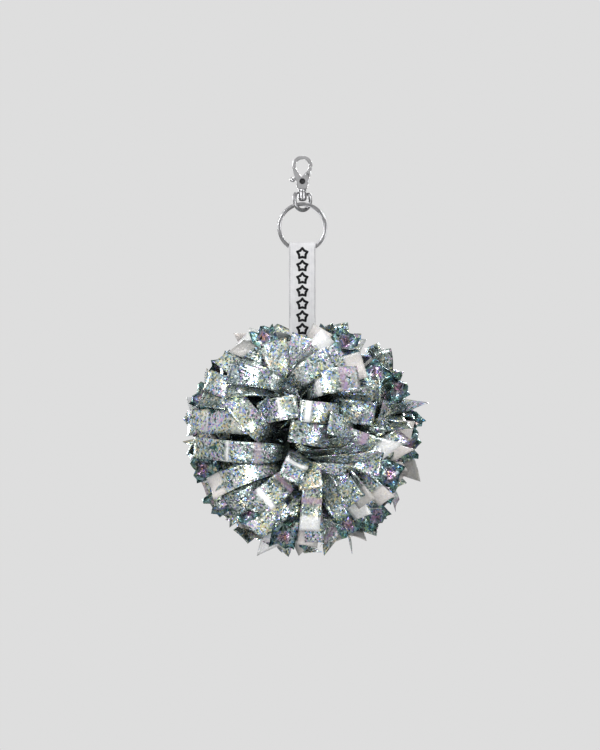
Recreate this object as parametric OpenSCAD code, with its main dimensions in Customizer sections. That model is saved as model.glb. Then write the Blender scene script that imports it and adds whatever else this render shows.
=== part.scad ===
// A small cheer pom pom that hangs on a key clasp. From the top down: a swivel trigger clasp, a
// split ring, a folded ribbon strap, and a ball of foil strips that a cable tie holds to the strap.
// Millimetres, +Z up, +Y to the back. The origin is where the hook's bend hangs on a peg.

/* [Clasp] */
// Outer width of the hook at its bend
hook_w = 12.2; // [11.8:0.1:12.6]
// Width of the wall round the hook's opening
hook_wall = 2.1; // [1.9:0.1:2.3]
// Height of the hook below the point it hangs from
hook_h = 17.8; // [17.4:0.1:18.4]
// Front to back thickness of the hook
hook_t = 3.2; // [3:0.1:3.6]
// Angle of the swivel eye about the vertical, from the ring's plane
eye_turn = 40; // [38:1:50]

/* [Split ring] */
// Outer diameter of the split ring
ring_d = 30; // [29:0.5:31]
// Radial width of the ring's wire
ring_wire = 2.4; // [2:0.1:2.6]
// Thickness of each of the ring's two coils
coil_t = 0.9; // [0.7:0.05:0.95]

/* [Strap] */
// Width of the ribbon
strap_w = 15.9; // [12:0.1:16.5]
// Thickness of one ply of the ribbon
ply_t = 0.6; // [0.4:0.05:0.7]
// Point radius of the printed stars
star_r = 3.9; // [3:0.1:4.2]

/* [Pom] */
// Drop from the hanging point to the middle of the pom
pom_drop = 166.3; // [165:0.5:180]
// Radius that the longest foil strips reach
pom_r = 71; // [68:0.5:71.5]
// Width of a foil strip
strip_w = 12; // [9:0.5:12.5]
// Thickness of a foil strip
strip_t = 0.25; // [0.15:0.05:0.3]

/* [Hidden] */
$fn = 64;

steel = "#b9bbbd";
ribbon_white = "#e9e9ea";
foil_silver = "#c9d0d3";

// Hook: a teardrop opening in a flat tapered body, with a window that the gate closes.
hook_r = hook_w / 2;
open_r = hook_r - hook_wall;
bend_z = -open_r;
foot_z = -hook_h;
foot_w = 5.7;
open_tip_r = 0.7;
open_tip_drop = 6.5;
// Gate: it turns about the rivet, and its edges are arcs about the rivet's axis.
rivet_z = foot_z + 4.6;
rivet_r = 1;
rivet_head_r = 1.85;
rivet_head_h = 0.45;
pin_gap = 0.06;
gate_in_r = 5.4;
gate_out_r = 9.55;
gate_gap = 0.3;
gate_t = hook_t - 0.6;
web_t = 1.4;
slot_t = 1.6;
slot_floor_z = foot_z + 2;
knob_r = 1.6;
knob_x = -5.9;
knob_rise = 1.1;
knob_neck = 1.15;
// Closing spring, a small coil under the knob's arm.
spring_x = -2.65;
spring_r = 0.5;
spring_wire = 0.26;
spring_turns = 4;
spring_top_z = rivet_z + 0.3;
// Swivel: a headed stud in the barrel of the eye.
stud_r = 1.5;
collar_r = 2.3;
barrel_r = 2.75;
barrel_top_z = foot_z - 1.8;
barrel_h = 4.2;
head_r = 2.4;
head_h = 1.35;
eye_r = 6.2;
eye_wire_r = 1.2;
eye_z = foot_z - 6.5;
// Split ring: two flat coils, joined by a short crossover.
coil_gap = 0.1;
ring_out_r = ring_d / 2;
ring_in_r = ring_out_r - ring_wire;
ring_lift = 1.1;
ring_z = eye_z - eye_r + eye_wire_r + ring_lift - ring_in_r;
crossover_start = 20;
crossover_sweep = 24;
end_notch = 8;
wire_chamfer = 0.22;
// Strap: it rests on the ring where its two edges meet the ring's inner side.
fold_r = 1.8;
fold_clear = 0.12;
ring_half_t = coil_t + coil_gap / 2;
strap_edge_z = ring_z - sqrt(pow(ring_in_r, 2) - pow(strap_w / 2, 2));
fold_z = strap_edge_z - sqrt(pow(fold_r - fold_clear, 2) - pow(ring_half_t, 2));
straight_z = ring_z - ring_out_r - 0.8;
join_z = straight_z - 9.4;
pom_z = -pom_drop;
hinge_z = pom_z + 73.6;
hinge_gap = 0.4;
// Stitches and printed stars follow the front ply, by the distance s down it from the fold.
slant_start = fold_z - straight_z;
slant_len = norm([fold_r, join_z - straight_z]);
flat_start = slant_start + slant_len;
ply_len = flat_start + join_z - hinge_z;
stitch_pitch = 2.4;
stitch_len = 1.5;
stitch_w = 0.35;
stitch_h = 0.12;
stitch_x = strap_w / 2 - 0.85;
star_pitch = 8.9;
star_line = 0.95;
ink_t = 0.1;
// Foil bundle: its gathered middle, and the waist that the cable tie pulls in.
bundle_r = 12.8;
waist_r = 8.7;
waist_h = 5.4;
tie_w = 4.8;
tie_t = 1.2;
tie_gap = 0.2;
// Strips: eight tiers a side, as [count, polar angle of the root, polar angle of the tip].
TIERS = [[3, 20, 5], [5, 27, 19], [8, 34, 32], [11, 41, 45], [13, 48, 57], [15, 55, 68.5],
         [16, 62, 77.5], [16, 77, 87.2]];
root_r = 13;
root_w = 4;
root_len = 24;
tip_spread = 7;
polar_spread = 1.2;

// Points on an arc about c, from angle a to angle b.
function arc(c, r, a, b, n = 24) =
    [for (i = [0:n]) c + r * [cos(a + (b - a) * i / n), sin(a + (b - a) * i / n)]];

// Outline round a large circle and a smaller one below it.
function teardrop(big, small, drop) =
    let (t = asin((big - small) / drop))
    concat(arc([0, 0], big, -t, 180 + t, 48), arc([0, -drop], small, 180 + t, 360 - t, 12));

// Outline of a circle that tapers straight down to a flat foot.
function tapered(r, foot, drop) =
    let (p = [foot / 2, -drop], t = acos(r / norm(p)) + atan2(p[1], p[0]))
    concat(arc([0, 0], r, t, 180 - t, 48), [[-foot / 2, -drop], [foot / 2, -drop]]);

// A flat shape drawn in X and Z, thickened to the front and the back.
module plate(t) {
    rotate([90, 0, 0]) linear_extrude(t, center = true) children();
}

module along_y(r, h) {
    rotate([90, 0, 0]) cylinder(r = r, h = h, center = true);
}

// ---- Clasp ----

module hook_face() {
    translate([0, bend_z]) difference() {
        polygon(tapered(hook_r, foot_w, hook_h + bend_z));
        polygon(teardrop(open_r, open_tip_r, open_tip_drop));
    }
}

// Ring sector about the rivet on the hook's right side, where the gate closes.
module gate_window(r_in, r_out) {
    intersection() {
        translate([0, rivet_z]) difference() {
            circle(r_out);
            circle(r_in);
        }
        translate([1.2, bend_z - 12]) square([10, 20]);
    }
}

// The gate's lever runs between the hook's front and back plates.
module lever_slot() {
    polygon([[-9, slot_floor_z], [9, slot_floor_z], [9, rivet_z + 5], [-2.6, rivet_z + 5],
             [-3.4, rivet_z + 2.9], [-9, rivet_z + 2.9]]);
}

module hook_body() {
    color(steel) difference() {
        plate(hook_t) difference() {
            hook_face();
            gate_window(gate_in_r - gate_gap, gate_out_r + gate_gap);
        }
        plate(slot_t) lever_slot();
        translate([0, 0, rivet_z]) along_y(rivet_r, hook_t + 2);
        translate([0, 0, foot_z - 1]) cylinder(r = stud_r, h = 2.6);
    }
}

module gate_lever() {
    color(steel) difference() {
        union() {
            plate(gate_t) intersection() {
                hook_face();
                gate_window(gate_in_r, gate_out_r);
            }
            translate([0, 0, rivet_z]) {
                plate(web_t) {
                    circle(1.9);
                    polygon([[0.2, -1.8], [3.6, 2.2], [5, 5.2], [3.6, 7], [2.3, 5.6], [-1.4, 1.4]]);
                    translate([knob_x, knob_rise - 0.75]) square([-knob_x, 1.5]);
                }
                translate([knob_x, 0, knob_rise]) rotate([0, -90, 0]) rotate_extrude() polygon(concat(
                    [[0, -knob_neck], [knob_r, -knob_neck]],
                    [for (a = [0:15:75]) knob_r * [cos(a), sin(a)]], [[0, knob_r]]));
            }
        }
        translate([0, 0, rivet_z]) along_y(rivet_r + pin_gap, hook_t + 2);
    }
}

module gate_rivet() {
    color("#6f7275") translate([0, 0, rivet_z]) {
        along_y(rivet_r, hook_t);
        for (side = [-1, 1])
            translate([0, side * (hook_t + rivet_head_h) / 2, 0]) along_y(rivet_head_r, rivet_head_h);
    }
}

// A ring of the spring's wire at one point of its helix.
function wire_ring(a, z) = [for (j = [0:4])
    let (r = spring_r + spring_wire / 2 * cos(72 * j))
    [spring_x + r * cos(a), r * sin(a), z + spring_wire / 2 * sin(72 * j)]];

module gate_spring() {
    steps = 10 * spring_turns;
    low = slot_floor_z + spring_wire / 2 + 0.02;
    rise = spring_top_z - spring_wire / 2 - 0.02 - low;
    points = [for (i = [0:steps]) each wire_ring(36 * i, low + rise * i / steps)];
    sides = [for (i = [0:steps - 1], j = [0:4])
        [5 * i + j, 5 * i + (j + 1) % 5, 5 * (i + 1) + (j + 1) % 5, 5 * (i + 1) + j]];
    ends = [[4, 3, 2, 1, 0], [for (j = [0:4]) 5 * steps + j]];
    color("#8d9093") polyhedron(points, concat(sides, ends));
}

module swivel_stud() {
    head_z = barrel_top_z - barrel_h - 0.06;
    color(steel) {
        translate([0, 0, head_z - 0.5]) cylinder(r = stud_r, h = foot_z + 1.6 - head_z + 0.5);
        translate([0, 0, barrel_top_z + 0.1]) cylinder(r = collar_r, h = foot_z - barrel_top_z - 0.1);
        rotate_extrude() translate([0, head_z]) polygon(concat(
            [[0, 0], [head_r, 0]], [for (a = [10:10:80]) [head_r * cos(a), -head_h * sin(a)]],
            [[0, -head_h]]));
    }
}

module swivel_eye() {
    color(steel) rotate([0, 0, eye_turn]) difference() {
        union() {
            translate([0, 0, barrel_top_z - barrel_h]) cylinder(r = barrel_r, h = barrel_h);
            intersection() {
                translate([0, 0, eye_z]) rotate([90, 0, 0]) rotate_extrude()
                    translate([eye_r, 0]) circle(eye_wire_r);
                translate([-10, -10, eye_z - 10]) cube([20, 20, barrel_top_z - 0.3 - eye_z + 10]);
            }
        }
        translate([0, 0, barrel_top_z - barrel_h - 0.5]) cylinder(r = stud_r + pin_gap, h = barrel_h + 1);
    }
}

// ---- Split ring ----

// Section of one coil's wire, between two depths, with its outer edges broken.
module coil_section(low, high) {
    c = wire_chamfer;
    polygon([[ring_in_r + c, low], [ring_out_r - c, low], [ring_out_r, low + c],
             [ring_out_r, high - c], [ring_out_r - c, high], [ring_in_r + c, high],
             [ring_in_r, high - c], [ring_in_r, low + c]]);
}

module split_ring() {
    half = coil_gap / 2;
    lap = 360 - end_notch;
    color(steel) translate([0, 0, ring_z]) rotate([90, 0, 0]) {
        rotate([0, 0, crossover_start]) rotate_extrude(angle = lap) coil_section(half, ring_half_t);
        rotate([0, 0, crossover_start + crossover_sweep - lap])
            rotate_extrude(angle = lap) coil_section(-ring_half_t, -half);
        rotate([0, 0, crossover_start]) rotate_extrude(angle = crossover_sweep)
            translate([ring_in_r + 0.3, -0.4]) square([ring_wire - 0.6, 0.8]);
    }
}

// ---- Strap ----

// A side view drawn in Y and Z, as wide as the ribbon.
module ribbon() {
    rotate([90, 0, 90]) linear_extrude(strap_w, center = true) children();
}

module strap_loop() {
    out_r = fold_r + ply_t;
    end_z = hinge_z + hinge_gap;
    color(ribbon_white) ribbon() difference() {
        polygon(concat(arc([0, fold_z], out_r, 0, 180),
            [[-out_r, straight_z], [-ply_t, join_z], [-ply_t, end_z], [ply_t, end_z],
             [ply_t, join_z], [out_r, straight_z]]));
        polygon(concat(arc([0, fold_z], fold_r, 0, 180),
            [[-fold_r, straight_z], [0, join_z + 0.5], [fold_r, straight_z]]));
    }
}

// Front face of the front ply at distance s: its depth, its height and its lean.
function ply_place(s) =
    let (face = fold_r + ply_t, lean = atan2(fold_r, straight_z - join_z))
    s <= slant_start ? [-face, fold_z - s, 0]
    : s <= flat_start ? [-face + (s - slant_start) * sin(lean), straight_z - (s - slant_start) * cos(lean), lean]
    : [-ply_t, join_z - (s - flat_start), 0];

// Lays children, drawn in X and Z on the plane Y = 0, on the ply at distance s.
module on_ply(s) {
    p = ply_place(s);
    translate([0, p[0], p[1]]) rotate([p[2], 0, 0]) children();
}

module strap_stitching() {
    count = floor((ply_len - 2) / stitch_pitch);
    color("#dcdcde") for (back = [0, 1], i = [0:count - 1], side = [-1, 1])
        let (s = 1.2 + i * stitch_pitch)
        if (abs(s - slant_start) > 0.9 && abs(s - flat_start) > 0.9)
            mirror([0, back, 0]) on_ply(s) translate([side * stitch_x, -stitch_h / 2, 0])
                cube([stitch_w, stitch_h, stitch_len], center = true);
}

module star(r) {
    polygon([for (i = [0:9]) let (q = i % 2 ? 0.5 * r : r) q * [sin(36 * i), cos(36 * i)]]);
}

module strap_print() {
    places = concat([slant_start + slant_len / 2],
                    [for (i = [0:2]) flat_start + 4.2 + i * star_pitch]);
    color("#161618") for (s = places)
        on_ply(s) translate([0, -ink_t / 2, 0]) plate(ink_t) difference() {
            star(star_r);
            star(star_r - 2 * star_line);
        }
}

module strap_tail() {
    top_z = hinge_z - hinge_gap;
    color(ribbon_white) translate([-strap_w / 2, -ply_t, pom_z - bundle_r + 3])
        cube([strap_w, 2 * ply_t, top_z - pom_z + bundle_r - 3]);
}

// ---- Pom ----

module cable_tie() {
    in_r = waist_r + tie_gap;
    out_r = in_r + tie_t;
    color("#d8d8d4") translate([0, 0, pom_z]) difference() {
        union() {
            cylinder(r = out_r, h = tie_w, center = true);
            translate([-3.2, out_r - 1.5, -2.6]) cube([6.4, 5.6, 5.2]);
            translate([3, out_r + 0.6, -tie_w / 2]) cube([1.9, tie_t, tie_w]);
        }
        cylinder(r = in_r, h = tie_w + 2, center = true);
    }
}

// One half of the strips' gathered middles, with the tie's waist and room for the strap.
module bundle_half() {
    difference() {
        sphere(r = bundle_r);
        difference() {
            cylinder(r = bundle_r + 2, h = waist_h, center = true);
            cylinder(r = waist_r, h = waist_h + 2, center = true);
        }
        translate([-20, -ply_t - 0.15, -20]) cube(40);
    }
}

module bundle_front() {
    color("#7d8688") translate([0, 0, pom_z]) bundle_half();
}

module bundle_back() {
    color("#7d8688") translate([0, 0, pom_z]) mirror([0, 1, 0]) bundle_half();
}

// A number from 0 to 1 that varies from strip to strip.
function vary(a, b) = let (q = sin(a * 77.7 + b * 131.3) * 43.7) q - floor(q);

// One strip in the X-Y plane: it leaves the bundle radially at the polar angle root, and bends
// through one arc to the polar angle tip at the radius reach. It is narrow where it is gathered.
module strip(root, tip, reach) {
    from = root_r * [cos(root), sin(root)];
    chord = reach * [cos(tip), sin(tip)] - from;
    turn = atan2(chord[1], chord[0]) - root;
    bend_r = norm(chord) / (2 * sin(abs(turn)));
    way = turn < 0 ? -1 : 1;
    translate([from[0], from[1], 0]) rotate([0, 0, root - 90]) translate([-way * bend_r, 0, 0])
        mirror([(1 - way) / 2, 0, 0]) intersection() {
            rotate_extrude(angle = 2 * abs(turn), $fn = 180)
                translate([bend_r - strip_t / 2, -strip_w / 2]) square([strip_t, strip_w]);
            translate([bend_r, 0, 0]) rotate([90, 0, 90])
                linear_extrude(2 * pom_r, center = true) polygon([
                    [-1, -root_w / 2], [0, -root_w / 2], [root_len, -strip_w / 2],
                    [root_len + 1, -strip_w], [2 * pom_r, -strip_w], [2 * pom_r, strip_w],
                    [root_len + 1, strip_w], [root_len, strip_w / 2], [0, root_w / 2],
                    [-1, root_w / 2]]);
        }
}

// One tier of strips round the axis that points to the front.
module tier(k, side) {
    t = TIERS[k];
    for (i = [0:t[0] - 1])
        let (reach = pom_r - tip_spread * vary(i + 9 * side, k),
             tip = t[2] + polar_spread * (2 * vary(k + 5, i + side) - 1),
             around = 360 / t[0] * (i + (k + side) % 2 / 2) + 90)
        rotate([0, -around, 0]) rotate([0, 0, -90]) strip(t[1], tip, reach);
}

module front_tier(k) {
    color(foil_silver) translate([0, 0, pom_z]) tier(k, 0);
}

module back_tier(k) {
    color(foil_silver) translate([0, 0, pom_z]) mirror([0, 1, 0]) tier(k, 1);
}

hook_body();
gate_lever();
gate_rivet();
gate_spring();
swivel_stud();
swivel_eye();
split_ring();
strap_loop();
strap_stitching();
strap_print();
strap_tail();
cable_tie();
bundle_front();
bundle_back();
front_tier(0);  // front_strips_1
front_tier(1);  // front_strips_2
front_tier(2);  // front_strips_3
front_tier(3);  // front_strips_4
front_tier(4);  // front_strips_5
front_tier(5);  // front_strips_6
front_tier(6);  // front_strips_7
front_tier(7);  // front_strips_8
back_tier(0);  // back_strips_1
back_tier(1);  // back_strips_2
back_tier(2);  // back_strips_3
back_tier(3);  // back_strips_4
back_tier(4);  // back_strips_5
back_tier(5);  // back_strips_6
back_tier(6);  // back_strips_7
back_tier(7);  // back_strips_8
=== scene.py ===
"""Looks for the foil cheer pom pom keychain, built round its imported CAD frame.

Lengths in the tables are millimetres. +Z is up and +Y is to the back, so the printed side of the
strap and the front of the pom face -Y.
"""
import math

import bmesh
import bpy
import numpy as np
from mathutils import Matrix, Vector


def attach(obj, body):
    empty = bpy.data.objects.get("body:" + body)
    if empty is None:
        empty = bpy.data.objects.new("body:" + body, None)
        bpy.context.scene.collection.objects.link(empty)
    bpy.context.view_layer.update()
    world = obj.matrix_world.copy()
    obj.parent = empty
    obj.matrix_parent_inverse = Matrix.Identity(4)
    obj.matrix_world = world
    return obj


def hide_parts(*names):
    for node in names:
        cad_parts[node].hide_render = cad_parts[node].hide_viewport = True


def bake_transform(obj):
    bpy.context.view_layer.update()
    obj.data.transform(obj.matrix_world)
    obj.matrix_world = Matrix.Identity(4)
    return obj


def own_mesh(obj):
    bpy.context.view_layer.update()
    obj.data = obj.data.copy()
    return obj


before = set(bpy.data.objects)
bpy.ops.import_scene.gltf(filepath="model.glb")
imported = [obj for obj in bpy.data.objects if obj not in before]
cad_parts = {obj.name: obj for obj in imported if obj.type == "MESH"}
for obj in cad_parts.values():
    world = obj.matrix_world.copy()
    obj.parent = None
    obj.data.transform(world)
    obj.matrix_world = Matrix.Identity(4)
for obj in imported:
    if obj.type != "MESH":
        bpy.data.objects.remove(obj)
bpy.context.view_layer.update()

MM = 0.001
POM_Z = -166.3      # middle of the ball of foil
POM_R = 71.0
RING_Z = -40.8      # middle of the split ring
RIVET_Z = -13.2     # middle of the gate's rivet
RIBBON_W = 15.9
PLY_T = 0.55        # thickness of the ribbon
FOIL_T = 0.14
rng = np.random.default_rng(20)


# ---------------------------------------------------------------- node helpers

def new_material(name):
    made = bpy.data.materials.new(name)
    made.use_nodes = True
    tree = made.node_tree
    return made, tree, tree.nodes["Principled BSDF"]


def put(tree, socket, value):
    """Links a node's output into a socket, or sets a plain value on it."""
    if isinstance(value, bpy.types.NodeSocket):
        tree.links.new(value, socket)
    else:
        socket.default_value = value


def dress(tree, shader, values):
    for name, value in values.items():
        put(tree, shader.inputs[name], value)


def add(tree, kind, inputs=None, **settings):
    made = tree.nodes.new(kind)
    for key, value in settings.items():
        setattr(made, key, value)
    for key, value in (inputs or {}).items():
        put(tree, made.inputs[key], value)
    return made


def maths(tree, operation, a, b=0.0, clamp=False):
    made = add(tree, "ShaderNodeMath", {0: a, 1: b}, operation=operation)
    made.use_clamp = clamp
    return made.outputs[0]


def vectors(tree, operation, a, b):
    return add(tree, "ShaderNodeVectorMath", {0: a, 1: b}, operation=operation).outputs[0]


def mix(tree, factor, a, b, blend="MIX"):
    """Blends two colour outputs."""
    made = add(tree, "ShaderNodeMix", data_type="RGBA", blend_type=blend)
    for index, value in ((0, factor), (6, a), (7, b)):
        put(tree, made.inputs[index], value)
    return made.outputs[2]


def ramp(tree, factor, stops, interpolation="LINEAR"):
    """A colour ramp from (place, (r, g, b)) stops."""
    made = add(tree, "ShaderNodeValToRGB", {0: factor})
    made.color_ramp.interpolation = interpolation
    elements = made.color_ramp.elements
    while len(elements) < len(stops):
        elements.new(0.5)
    for element, (place, _) in zip(elements, stops):
        element.position = place
    for element, (_, colour) in zip(elements, stops):
        element.color = (*colour, 1.0)
    return made.outputs[0]


def bump(tree, height, strength, distance):
    return add(tree, "ShaderNodeBump", {"Height": height, "Strength": strength,
                                        "Distance": distance}).outputs[0]


def grey(v):
    return (v, v, v)


# ---------------------------------------------------------------- materials

GREYS = [(0.0, (0.05, 0.085, 0.08)), (0.12, (0.15, 0.205, 0.19)), (0.30, (0.27, 0.335, 0.315)),
         (0.52, (0.41, 0.48, 0.46)), (0.70, (0.55, 0.62, 0.60))]
GLINTS = [(0.0, (0.95, 0.78, 0.55)), (0.12, (0.92, 0.95, 0.40)), (0.24, (0.80, 1.0, 0.72)),
          (0.34, (0.98, 1.0, 0.99)), (0.58, (0.95, 1.0, 1.0)), (0.68, (0.45, 0.78, 0.98)),
          (0.78, (0.22, 0.42, 0.88)), (0.88, (0.42, 0.36, 0.85)), (1.0, (0.85, 0.62, 0.80))]
FLAKES_PER_MM = 1.05
HUE_DRIFT = 1.5             # how far the hue of the bright flakes wanders along the film
HUE_OF_FLAKE = 0.95         # and how far each flake strays from that
GLINT_SHARE = 1.05
SPECK_STRENGTH = 0.16
FLAKE_LEAN = 0.17           # tilt of a flake, as a share of the normal
FILM_METAL = 0.82
PAINT_METAL_LOSS = 0.80     # how much less metallic the painted highlight and reflection bands and the ends are
FILM_ROUGH, FLAKE_ROUGH = 0.22, 0.14
WARP_PITCH, WEFT_PITCH = 0.95, 0.42


def flake_cells(tree, uv, per_mm):
    """A random colour in each flake. Its three channels are used as three random numbers."""
    return add(tree, "ShaderNodeTexVoronoi", {"Vector": uv, "Scale": per_mm},
               voronoi_dimensions="2D").outputs["Color"]


def film_noise(tree, uv, scale, detail):
    return add(tree, "ShaderNodeTexNoise", {"Vector": uv, "Scale": scale, "Detail": detail},
               noise_dimensions="2D").outputs[0]


def flake_colour(tree, uv, for_grey, for_glint, for_hue):
    """A dull grey or a bright hue for each flake, from its three random numbers."""
    drift = film_noise(tree, uv, 0.075, 1.0)
    patches = film_noise(tree, uv, 0.16, 2.0)
    lively = add(tree, "ShaderNodeAttribute", attribute_name="lively").outputs["Fac"]
    wide = maths(tree, "MULTIPLY", maths(tree, "SUBTRACT", drift, 0.5), HUE_DRIFT)
    own = maths(tree, "MULTIPLY", maths(tree, "SUBTRACT", for_hue, 0.5), HUE_OF_FLAKE)
    hue = maths(tree, "ADD", maths(tree, "ADD", wide, 0.5), own, clamp=True)
    density = maths(tree, "MULTIPLY", maths(tree, "MULTIPLY", patches, lively), GLINT_SHARE)
    is_bright = maths(tree, "GREATER_THAN", density, for_glint)
    return mix(tree, is_bright, ramp(tree, for_grey, GREYS, "CONSTANT"), ramp(tree, hue, GLINTS))


def flake_normal(tree, flakes, specks):
    """The film's normal, leaned a little its own way in each flake and speck."""
    tilt = vectors(tree, "ADD", vectors(tree, "SUBTRACT", flakes, grey(0.5)),
                   vectors(tree, "SUBTRACT", specks, grey(0.5)))
    lean = add(tree, "ShaderNodeVectorMath", {0: tilt, "Scale": FLAKE_LEAN}, operation="SCALE")
    normal = add(tree, "ShaderNodeNewGeometry").outputs["Normal"]
    leaned = vectors(tree, "ADD", normal, lean.outputs[0])
    return add(tree, "ShaderNodeVectorMath", {0: leaned}, operation="NORMALIZE").outputs[0]


def foil_material():
    """Silver film with a flake in each cell. Each flake has its own tone and its own tilt, and
    the bright ones have a hue that drifts slowly along the film."""
    made, tree, shader = new_material("holographic_foil")
    uv = add(tree, "ShaderNodeUVMap", uv_map="foil").outputs[0]
    flakes = flake_cells(tree, uv, FLAKES_PER_MM)
    specks = flake_cells(tree, uv, 2 * FLAKES_PER_MM)
    draws = add(tree, "ShaderNodeSeparateColor", {0: flakes}).outputs
    colour = flake_colour(tree, uv, draws[0], draws[1], draws[2])
    colour = mix(tree, SPECK_STRENGTH, colour, specks, "SOFT_LIGHT")
    # Over the flakes go the painted highlight and painted iridescent reflection bands and the white
    # or beige ends, and then painted shade darkens the whole colour.
    tint = add(tree, "ShaderNodeAttribute", attribute_name="tint").outputs
    colour = mix(tree, tint["Alpha"], colour, tint["Color"])
    shade = add(tree, "ShaderNodeAttribute", attribute_name="shade").outputs["Color"]
    loss = maths(tree, "MULTIPLY", tint["Alpha"], PAINT_METAL_LOSS)
    rougher = maths(tree, "MULTIPLY", draws[1], FLAKE_ROUGH)
    dress(tree, shader, {"Base Color": mix(tree, 1.0, colour, shade, "MULTIPLY"),
                         "Metallic": maths(tree, "SUBTRACT", FILM_METAL, loss),
                         "Roughness": maths(tree, "ADD", rougher, FILM_ROUGH),
                         "Normal": flake_normal(tree, flakes, specks)})
    return made


def metal_material(name, colour, rough, wear=0.5):
    """Plated metal with faint polishing marks, cloudy patches and grime."""
    made, tree, shader = new_material(name)
    place = add(tree, "ShaderNodeTexCoord").outputs["Object"]
    clouds = add(tree, "ShaderNodeTexNoise",
                 {"Vector": place, "Scale": 380.0, "Detail": 5.0}).outputs[0]
    marks = add(tree, "ShaderNodeTexNoise",
                {"Vector": place, "Scale": 2600.0, "Detail": 3.0}).outputs[0]
    dull = tuple(c * (1 - 0.45 * wear) for c in colour)
    rougher = maths(tree, "MULTIPLY", clouds, 0.22 * wear)
    dress(tree, shader, {"Base Color": ramp(tree, clouds, [(0.30, dull), (0.55, colour)]),
                         "Metallic": 1.0,
                         "Roughness": maths(tree, "ADD", rougher, rough),
                         "Normal": bump(tree, marks, 0.05, 0.0002)})
    return made


def ribbon_material():
    """Woven polyester: warp ribs along the strap, fine weft across it, and soft soiling."""
    made, tree, shader = new_material("woven_ribbon")
    uv = add(tree, "ShaderNodeUVMap", uv_map="weave").outputs[0]
    place = add(tree, "ShaderNodeSeparateXYZ", {0: uv}).outputs
    warp, weft = (maths(tree, "SINE", maths(tree, "MULTIPLY", place[i], 2 * math.pi / pitch))
                  for i, pitch in enumerate((WARP_PITCH, WEFT_PITCH)))
    cloth = maths(tree, "ADD", maths(tree, "MULTIPLY", warp, 0.6),
                  maths(tree, "MULTIPLY", weft, 0.4))
    level = maths(tree, "ADD", maths(tree, "MULTIPLY", cloth, 0.22),
                  film_noise(tree, uv, 0.25, 4.0))
    tone = ramp(tree, level, [(0.2, (0.54, 0.54, 0.555)), (0.8, (0.64, 0.64, 0.65))])
    dress(tree, shader, {"Base Color": tone, "Roughness": 0.75, "Sheen Weight": 0.25,
                         "Sheen Roughness": 0.4, "Specular IOR Level": 0.3,
                         "Normal": bump(tree, cloth, 0.35, 0.0001)})
    return made


def soft_material(name, dark, light, rough, scale, bump_height, specular=0.5):
    """Thread, ink, nylon, gathered film or the floor: a mottled tone with a fine grain."""
    made, tree, shader = new_material(name)
    place = add(tree, "ShaderNodeTexCoord").outputs["Object"]
    grain = add(tree, "ShaderNodeTexNoise",
                {"Vector": place, "Scale": scale, "Detail": 4.0}).outputs[0]
    dress(tree, shader, {"Base Color": ramp(tree, grain, [(0.35, dark), (0.65, light)]),
                         "Roughness": rough, "Specular IOR Level": specular,
                         "Normal": bump(tree, grain, 0.3, bump_height)})
    return made


FOIL = foil_material()
NICKEL = metal_material("nickel", (0.62, 0.62, 0.63), 0.13, 0.3)
# A darker, rougher copy of the nickel: painted shade on the split ring, the swivel stud and the
# swivel eye.
SHADED_NICKEL = metal_material("shaded_nickel", (0.36, 0.36, 0.37), 0.27, 0.4)
DARK_NICKEL = metal_material("dark_nickel", (0.06, 0.06, 0.063), 0.24)
SPRING_STEEL = metal_material("spring_steel", (0.42, 0.42, 0.43), 0.22)
RIBBON = ribbon_material()
THREAD = soft_material("thread", (0.12, 0.12, 0.13), (0.24, 0.24, 0.25), 0.7, 3000.0, 0.00005)
INK = soft_material("print_ink", (0.004, 0.004, 0.005), (0.014, 0.014, 0.015), 0.7, 900.0,
                    0.00003, specular=0.15)
NYLON = soft_material("nylon_tie", (0.55, 0.55, 0.52), (0.68, 0.68, 0.64), 0.4, 300.0, 0.00005)
# The gathered film in the ball's middle is painted near black, as shade deep in the ball.
PAINTED_SHADE_GATHER = soft_material("gathered_film_painted_shade", (0.006, 0.010, 0.010), (0.05, 0.065, 0.065), 0.35, 260.0,
                       0.0012)


# ---------------------------------------------------------------- mesh helpers

def mesh_object(name, verts, faces, material, smooth=True):
    """An object from points in millimetres."""
    mesh = bpy.data.meshes.new(name)
    mesh.from_pydata([tuple(v) for v in np.asarray(verts) * MM], [], [tuple(f) for f in faces])
    made = bpy.data.objects.new(name, mesh)
    bpy.context.scene.collection.objects.link(made)
    mesh.materials.append(material)
    mesh.polygons.foreach_set("use_smooth", [smooth] * len(mesh.polygons))
    mesh.update()
    return made


def add_uvs(mesh, name, uvs):
    """A UV layer from one (u, v) pair for each point of the mesh."""
    loops = np.zeros(len(mesh.loops), np.int32)
    mesh.loops.foreach_get("vertex_index", loops)
    layer = mesh.uv_layers.new(name=name)
    layer.data.foreach_set("uv", np.asarray(uvs, np.float32)[loops].ravel())


def shell_faces(n, m, start=0):
    """Quads of a closed thin sheet: two grids of n+1 by m+1 points, and the walls between them."""
    row = m + 1
    size = (n + 1) * row
    i, j = np.meshgrid(np.arange(n), np.arange(m), indexing="ij")
    a = (i * row + j).ravel()
    top = np.stack([a, a + 1, a + row + 1, a + row], 1)
    bottom = np.stack([a, a + row, a + row + 1, a + 1], 1) + size
    rim = np.concatenate([np.arange(0, m), m + row * np.arange(n), n * row + m - np.arange(m),
                          row * (n - np.arange(n))])
    after = np.roll(rim, -1)
    walls = np.stack([after, rim, rim + size, after + size], 1)
    return np.concatenate([top, bottom, walls]) + start


def unit(v):
    v = np.asarray(v, float)
    return v / np.maximum(np.linalg.norm(v, axis=-1, keepdims=True), 1e-9)


def carried(points, side):
    """Side vectors carried along a line of points with as little turning as possible."""
    tangents = unit(np.gradient(points, axis=0))
    sides = [unit(side - tangents[0] * np.dot(side, tangents[0]))]
    for t in tangents[1:]:
        s = sides[-1] - t * np.dot(sides[-1], t)
        sides.append(unit(s))
    return tangents, np.array(sides)


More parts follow.
